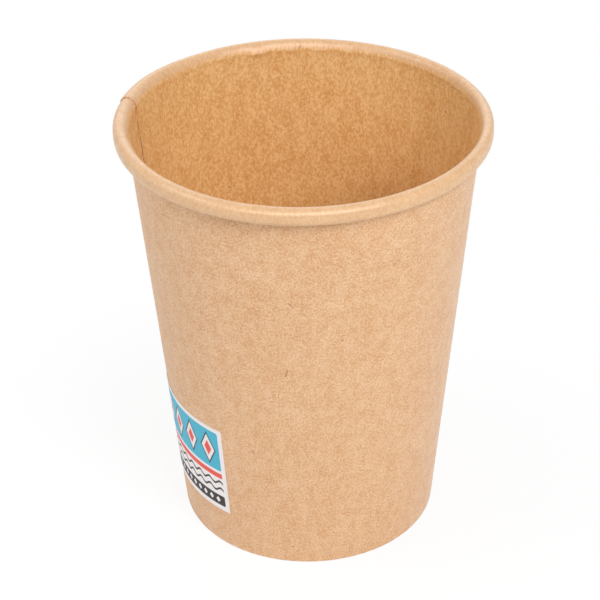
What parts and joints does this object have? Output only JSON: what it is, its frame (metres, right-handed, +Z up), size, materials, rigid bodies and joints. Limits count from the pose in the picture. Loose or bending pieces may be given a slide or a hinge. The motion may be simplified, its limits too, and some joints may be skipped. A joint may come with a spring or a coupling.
{
  "type": "paper coffee cup",
  "caption": "Single-wall kraft paper cup for hot drinks: tapered wall with lapped side seam, outward rolled rim, recessed bottom and a small plain label.",
  "frame": {"origin": "on the cup's axis, in the plane that the foot stands on", "axes": "+Z up along the cup's axis, -Y towards the side that the picture shows, the seam at 166 degrees from +X towards +Y"},
  "size_m": [0.0903, 0.0901, 0.1103],
  "materials": {
    "kraft_board": "matte brown kraft board outside, thin satin film inside",
    "bottom_board": "brown kraft board with a thin satin film on the inside of the cup",
    "label_paper": "smooth printed label paper"
  },
  "bodies": {
    "root": {"side_wall": "kraft_board", "bottom_disc": "bottom_board", "label": "label_paper"}
  },
  "joints": []
}
